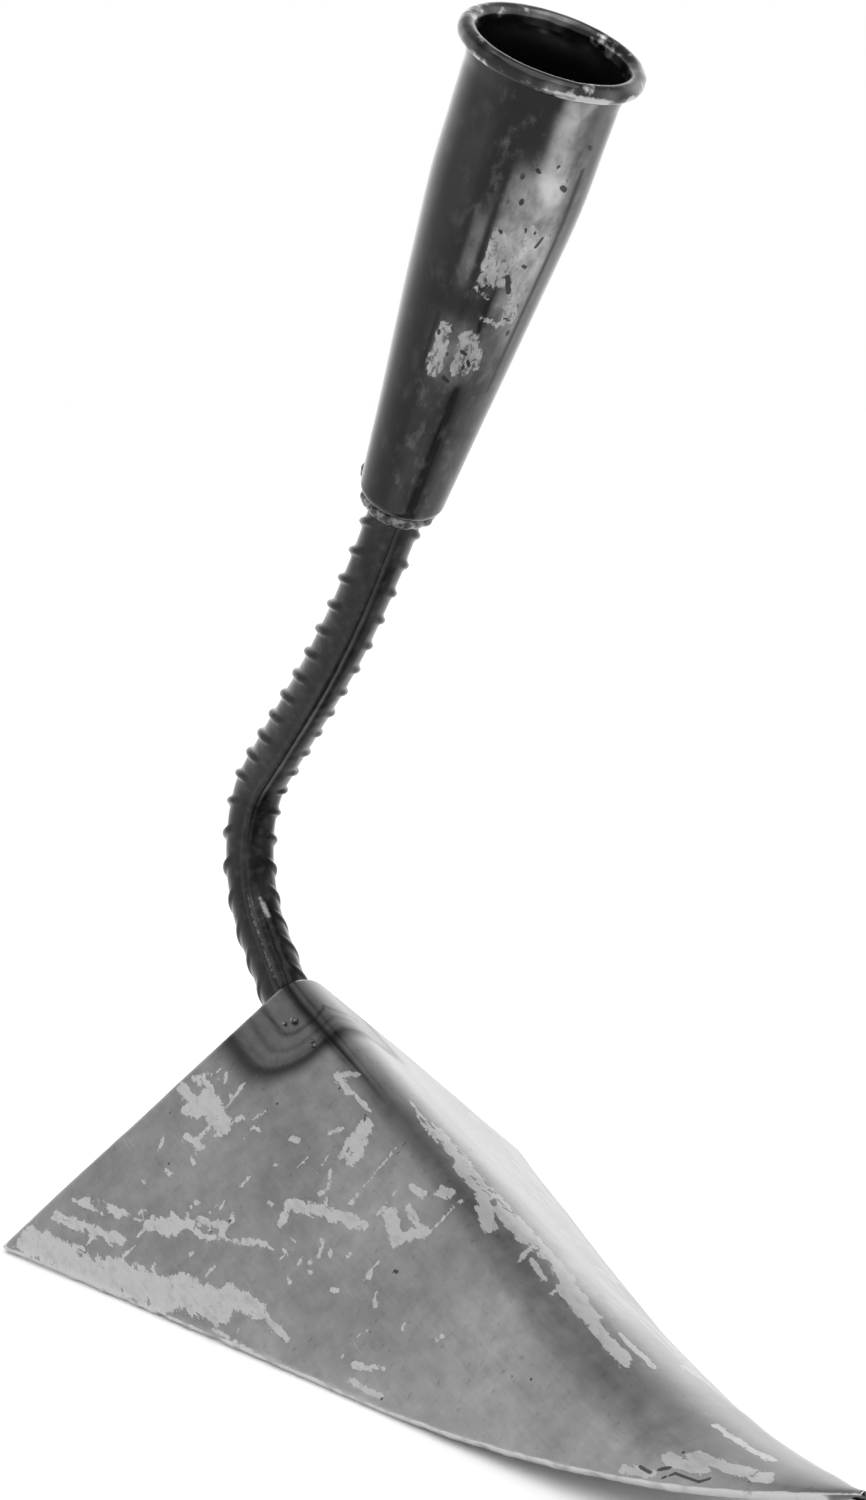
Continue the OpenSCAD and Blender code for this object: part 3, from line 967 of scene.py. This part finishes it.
def socket_fields(points, z, turn, on_bead, is_outer):
    """What the socket's material reads at each point. turn is the angle round from the front."""
    down, arc_round = -z, turn * ARC_PER_DEGREE
    peel = stroke_field(down, arc_round, socket_strokes(SOCKET_PATCHES))
    gouge = stroke_field(down, arc_round, socket_strokes(SOCKET_GOUGES))
    streak = stroke_field(down, arc_round, socket_strokes(DARK_STREAKS), soft=0.6)
    streak = smooth(-0.9, 0.4, streak)
    at_lip = smooth(1.5, 0, z + SOCKET_LENGTH)
    # Painted highlight: more rubbed metal on the bead's lower part, towards the front near side
    facing = smooth(BEAD_HEIGHT + 0.6, BEAD_HEIGHT - 0.6, z) * hump(turn, -10, 50)
    # Painted sheen in bands on the outside, cut by the dark streaks, and thin lacquer in blotches on the
    # bead
    thin = painted_sheen_bands(down, turn) * (1 - streak) * (1 - on_bead)
    thin = thin + on_bead * np.clip(0.05 + 0.4 * waves(points, 6, seed=15), 0, 1)
    return {
        "down": down,
        "around": arc_round,
        "wear": on_bead * (0.42 + 0.3 * facing + 0.12 * waves(points, 12, seed=14)) + 0.6 * at_lip,
        "thin": thin * np.maximum(is_outer, on_bead * (z > BEAD_HEIGHT - 1)),
        "peel": np.where(is_outer, np.minimum(peel, IN_STROKE - 2 * streak), NO_STROKE),
        "gouge": np.where(is_outer, gouge, NO_STROKE),
        "outside": is_outer + 0 * z,
    }


def make_socket():
    """The tube: one wall turned round the handle's axis, slightly dented, with a lump in its bead."""
    around = np.linspace(0, 360, SOCKET_SEGMENTS, endpoint=False)[None, :]
    outward = turned(1, 0, np.radians(around))
    curl_end = CURL_END_ANGLE + CURL_WAVINESS * waves(outward * 16, 9, seed=11)
    section, outer_rows = socket_section(curl_end)
    r, z = section[..., 0], section[..., 1]
    points = turned(r, z, np.radians(around))
    joint = hump((around - BEAD_JOINT + 180) % 360 - 180, 0, 4.0)
    on_bead = smooth(3.5, 5, z)
    dents = DENT_DEPTH * waves(points, 26, seed=12) + 0.03 * np.cos(np.radians(3 * around))
    swell = dents + JOINT_HEIGHT * joint * on_bead + 0.05 * waves(points, 3.5, seed=13) * on_bead
    points = points + swell[..., None] * outward
    faces = grid_quads(len(section), SOCKET_SEGMENTS, wrap_columns=True, wrap_rows=True)
    is_outer = np.arange(len(section))[:, None] < outer_rows
    turn = (around + 180) % 360 - 180 + 0 * z
    fields = socket_fields(points, z, turn, on_bead, is_outer)
    verts = along_handle(points.reshape(-1, 3))
    make_piece("socket_shell", verts, faces, socket_material(), "socket", fields)


# ---------------- neck

PATH_STEP = 0.05
BAR_ROW_STEP = 0.28
BAR_COLUMNS = 132
NECK_LENGTH = sum(length for length, _ in STRETCHES)

# Scuffs on the bar, partly a painted highlight, and last a painted highlight along the front rib, as
# (from, to, half width), each end as (along, distance round from the front rib)
BAR_SCUFFS_AND_HIGHLIGHTS = (
    ((127.4, -2.6), (129.6, -3.0), 0.5),
    ((129.4, -3.0), (133.4, -3.5), 0.9),
    # Painted highlight along the front lengthwise rib
    ((126, 0.1), (150, 0.1), 0.3),
)


def neck_path():
    """Distances along the bar, with the [x, z] and the heading there. The heading is 0 straight down."""
    s = np.arange(-BAR_INSIDE_SOCKET, NECK_LENGTH + PATH_STEP / 2, PATH_STEP)
    ends = np.cumsum([0] + [length for length, _ in STRETCHES])
    headings = np.cumsum([-HANDLE_LEAN] + [turn for _, turn in STRETCHES])
    heading = np.interp(s, ends, headings)
    middle = np.radians((heading[1:] + heading[:-1]) / 2)
    x = np.concatenate([[0], np.cumsum(np.sin(middle))]) * PATH_STEP
    z = -np.concatenate([[0], np.cumsum(np.cos(middle))]) * PATH_STEP
    lean = math.radians(HANDLE_LEAN)
    start = SOCKET_LENGTH - BAR_INSIDE_SOCKET
    return s, x - start * math.sin(lean), z - start * math.cos(lean), heading


def at_neck(path, s):
    """Centre, front direction, side direction and downward direction of the bar at distances s."""
    distances, x, z, heading = path
    angle = np.radians(np.interp(s, distances, heading))
    zero = 0 * angle
    centre = np.stack([np.interp(s, distances, x), zero, np.interp(s, distances, z)], -1)
    front = np.stack([np.cos(angle), zero, np.sin(angle)], -1)
    side = np.stack([zero, zero - 1, zero], -1)
    down = np.stack([np.sin(angle), zero, -np.cos(angle)], -1)
    return centre, front, side, down


def from_long_rib(turn):
    """Angle in radians from the nearer of the two lengthwise ribs."""
    return np.abs((turn + math.pi / 2) % math.pi - math.pi / 2)


def crescent_ribs(s, turn):
    """Height above the bar's core of the leaning crescent ribs, which are lower on the far row.
    turn is measured from the front lengthwise rib."""
    cos, sin = np.cos(turn), np.sin(turn)
    lean = math.radians(RIB_LEAN)
    reach = (BAR_R + RIB_HEIGHT) / np.sqrt(sin**2 + (cos / math.cos(lean)) ** 2) - BAR_R
    fade = smooth(28, 62, np.degrees(from_long_rib(turn)))
    reach = np.maximum(reach, 0) * fade * np.where(sin > 0, 1, FAR_RIB_SHARE)
    total = np.zeros(np.broadcast(s, turn).shape)
    above, below = BAR_INSIDE_SOCKET // RIB_PITCH, int(NECK_LENGTH / RIB_PITCH)
    for number in range(-above, below + 1):
        middle = FIRST_RIB_AT + RIB_PITCH * number - BAR_R * math.tan(lean) * cos
        across = np.abs(s - middle) * math.cos(0.6 * lean)
        total = np.maximum(total, reach * smooth(RIB_FOOT, RIB_TOP, across))
    return total * (1 - 0.5 * smooth(112, 132, s))


def lengthwise_ribs(turn):
    """Height of the two lengthwise ribs, each with a rounded top."""
    return LONG_RIB_HEIGHT * smooth(RIB_FOOT, RIB_TOP, from_long_rib(turn) * BAR_R)


def with_ends(values, at_ends=0.0):
    """One value for each point of a capped shell, whose two end centres come last."""
    return np.concatenate([values.ravel(), [at_ends, at_ends]])


def dull_strip(points, s, arc_round):
    """1 in the strip of dull lacquer beside the front lengthwise rib, which widens on the way down."""
    width = 3.6 + 3.4 * smooth(75, 92, s)
    strip = smooth(-0.6, -1.2, arc_round) * smooth(-width - 0.8, -width, arc_round)
    patchy = 0.85 + 0.3 * waves(points, 8, seed=24)
    return np.clip(strip * patchy * smooth(0, 8, s), 0, 1)


def make_neck():
    """The ribbed bar, swept along its bent and slightly twisted centreline."""
    s = np.arange(-BAR_INSIDE_SOCKET, NECK_LENGTH, BAR_ROW_STEP)
    centre, front, side, _ = at_neck(neck_path(), s)
    s = s[:, None]
    turn = np.linspace(0, 2 * math.pi, BAR_COLUMNS, endpoint=False)[None, :]
    angle = turn + np.radians(LONG_RIB_ANGLE + TWIST * smooth(60, 125, s))
    direction = front[:, None] * np.cos(angle)[..., None] + side[:, None] * np.sin(angle)[..., None]
    proud = np.maximum(crescent_ribs(s, turn), lengthwise_ribs(turn))
    from_end = np.minimum(s - s[0], NECK_LENGTH - s)
    chamfer = np.maximum(BAR_CHAMFER - from_end, 0)
    points = centre[:, None] + direction * (BAR_R + proud - chamfer)[..., None]
    rough = BAR_ROUGHNESS * (waves(points, 6, seed=21) + 0.3 * waves(points, 2.2, seed=22))
    points = points + direction * rough[..., None]
    verts, faces = capped(points, centre[0], centre[-1])
    arc_round = ((turn + math.pi) % (2 * math.pi) - math.pi) * BAR_R
    scuff_and_highlight = stroke_field(s + 0 * turn, arc_round + 0 * s, BAR_SCUFFS_AND_HIGHLIGHTS)
    fields = {
        "dull": with_ends(dull_strip(points, s, arc_round)),
        "proud": with_ends(proud),
        "peel": with_ends(scuff_and_highlight, NO_STROKE),
    }
    make_piece("neck_ribbed_bar", verts, faces, bar_material(), "neck_bar", fields)


# ---------------- welds


def full_turn(steps):
    """Angles in radians that go once round."""
    return np.linspace(0, 2 * math.pi, steps, endpoint=False)


def blob(centre, radii, seed, rows=24, columns=32):
    """Points and faces of a closed lump, dented by waves."""
    pole = 0.02
    polar = np.linspace(pole, math.pi - pole, rows)[:, None]
    points = turned(np.sin(polar), np.cos(polar), full_turn(columns)) * np.array(radii)
    points = points * (1 + 0.12 * waves(points, 2.2, seed))[..., None] + np.array(centre)
    return capped(points, points[0].mean(0), points[-1].mean(0))


# Weld metal, with angles in degrees. The lump sits above the bead, on the near side towards the back.
BEAD_WELD_R = 1.45
BEAD_RIPPLES = 9
RIPPLE_HEIGHT = 0.16
LUMP_RADII = (1.7, 1.7, 2.6)
LUMP_HEIGHT = 3.5
LUMP_ANGLE = -140
FILLET_R = 2.1
FILLET_FROM_AXIS = 7.6
FILLET_FROM_BACK = 76.4

# Drops of weld spatter on the near wing, as (forwards, outwards, radius)
SPATTER = ((21.4, 7.0, 1.0), (19.7, 8.7, 0.6), (30.2, 7.0, 0.6), (31.6, 7.4, 0.7))


def make_socket_weld():
    """The lumpy bead between the socket's lip and the bar, and the lump on the socket's side."""
    segments, sides = 220, 40
    around, tube = full_turn(segments)[:, None], full_turn(sides)[None, :]
    ring_r, ring_z = BAR_R + 0.9, -SOCKET_LENGTH - 0.5
    ripples = np.abs(np.sin(BEAD_RIPPLES * around + 0.6 * np.sin(3 * around)))
    r = BEAD_WELD_R + RIPPLE_HEIGHT * ripples
    points = turned(ring_r + r * np.cos(tube), ring_z + r * np.sin(tube), around)
    lumps = 0.22 * waves(points, 3.2, seed=31) + 0.1 * waves(points, 1.2, seed=32)
    points = points + unit(points - turned(ring_r, ring_z, around)) * lumps[..., None]
    bead = (points.reshape(-1, 3), grid_quads(segments, sides, wrap_columns=True, wrap_rows=True))
    lump_at = turned(TAPER_END_R - 0.6, LUMP_HEIGHT - SOCKET_LENGTH, math.radians(LUMP_ANGLE))
    verts, faces = joined([bead, blob(lump_at, LUMP_RADII, seed=33)])
    make_piece("socket_weld_bead", along_handle(verts), faces, weld_material(), "socket_weld")


def spatter():
    """Small flat drops that stand on the blade's outer surface."""
    t, q = np.linspace(0, 0.25, 200)[:, None], np.linspace(-0.4, 0, 200)[None, :]
    points, _ = blade_surface(t, q)
    drops = []
    for index, (x, out, r) in enumerate(SPATTER):
        away = np.hypot(points[..., 0] - x, points[..., 1] + out)
        centre = points.reshape(-1, 3)[np.argmin(away)] + BLADE_ORIGIN
        drops.append(blob(centre, (r, r, 0.8 * r), seed=51 + index, rows=14, columns=20))
    return drops


def fillet(sign):
    """One rippled weld along the bar under the fold. sign is 1 on the near side and -1 on the far one."""
    start = NECK_LENGTH - WELD_RUN
    s, tube = np.linspace(start + 2, start + 24, 120), full_turn(32)[None, :, None]
    centre, front, side, down = at_neck(neck_path(), s)
    angle = math.pi - sign * math.radians(FILLET_FROM_BACK)
    bearing = front * math.cos(angle) + side * math.sin(angle)
    across = np.cross(bearing, down)
    part = np.linspace(0, 1, len(s))
    tapering = np.sqrt(np.clip(1 - (2 * part - 1) ** 8, 0.02, 1))
    r = (FILLET_R + 0.25 * np.abs(np.sin(part * math.pi * 9))) * tapering
    ring = bearing[:, None] * np.cos(tube) + across[:, None] * np.sin(tube)
    points = centre[:, None] + bearing[:, None] * FILLET_FROM_AXIS + ring * r[:, None, None]
    points = points + ring * (0.12 * waves(points, 2.5, seed=41 + sign))[..., None]
    return capped(points, points[0].mean(0), points[-1].mean(0))


def make_blade_welds():
    """The two fillets that hold the blade on the bar, with the drops that they spattered."""
    verts, faces = joined(spatter() + [fillet(sign) for sign in (-1, 1)])
    make_piece("blade_weld_fillets", verts, faces, weld_material(), "blade_welds")


# ---------------- floor, light and camera


def make_floor():
    """A wide pale floor that the blade stands on."""
    half_width, ground = 8000 * MM, cad_box[0].z
    signs = ((-1, -1), (1, -1), (1, 1), (-1, 1))
    corners = [(a * half_width, b * half_width, ground) for a, b in signs]
    mesh = bpy.data.meshes.new("floor")
    mesh.from_pydata(corners, [], [(0, 1, 2, 3)])
    material, n = new_material("floor_pale")
    mottle = n.noise(n.place(), 300, 2.0)
    n.surface(base_color=n.vary(0.92, 0.03, mottle), roughness=0.9)
    mesh.materials.append(material)
    add_object("floor", mesh)


def towards(azimuth, elevation):
    """The direction at two angles in degrees. Azimuth 0 is towards +X."""
    a, e = math.radians(azimuth), math.radians(elevation)
    return Vector((math.cos(a) * math.cos(e), math.sin(a) * math.cos(e), math.sin(e)))


def make_world():
    """Soft studio surroundings: bright low down, most of all behind the far side, and dim overhead."""
    world = bpy.data.worlds.new("studio")
    world.use_nodes = True
    bpy.context.scene.world = world
    n = Nodes(world.node_tree)
    direction = n.add("TexCoord", {}, output="Generated")
    height = n.add("SeparateXYZ", {0: direction}, output="Z")
    brightest = towards(125, 0)
    facing = n.add("VectorMath", {0: direction, 1: brightest}, output="Value", operation="DOT_PRODUCT")
    low_level, overhead_level = 1.3, 0.35
    level = n.ramp(height, 0.5, 0.85, low_level, overhead_level)
    level = n.times(level, n.vary(1.0, 0.25, facing))
    camera_ray = n.add("LightPath", {}, output="Is Camera Ray")
    background = n.add("Background", {"Color": (1, 1, 1, 1), "Strength": n.mix(camera_ray, level, 1.0)})
    n.add("OutputWorld", {"Surface": background})


def make_lamp(name, azimuth, elevation, width, strength):
    """A distant soft lamp that is width degrees across."""
    lamp = bpy.data.lights.new(name, "SUN")
    lamp.angle = math.radians(width)
    lamp.energy = strength
    way = towards(azimuth, elevation)
    made = add_object(name, lamp)
    made.location = way
    made.rotation_mode = "QUATERNION"
    made.rotation_quaternion = way.to_track_quat("Z", "Y")


def make_camera():
    """The camera looks from the front and the near side, slightly down, at a point in the mirror plane."""
    azimuth, pitch, roll, lens = 149.16, -9.62, 1.18, 55.3
    aim, distance = Vector((-34.6, 0, -131.0)) * MM, 478.6 * MM
    camera = add_object("camera", bpy.data.cameras.new("camera"))
    camera.data.lens = lens
    camera.data.clip_start = 10 * MM
    forward = towards(azimuth, pitch)
    camera.location = aim - forward * distance
    camera.rotation_mode = "QUATERNION"
    level = forward.to_track_quat("-Z", "Y")
    camera.rotation_quaternion = level @ Matrix.Rotation(math.radians(roll), 3, "Z").to_quaternion()
    bpy.context.scene.camera = camera


make_blade()
make_socket()
make_neck()
make_socket_weld()
make_blade_welds()
make_floor()
make_world()
make_lamp("key_softbox", azimuth=-10, elevation=60, width=60, strength=1.8)
make_camera()
bpy.context.scene.view_settings.view_transform = "Standard"
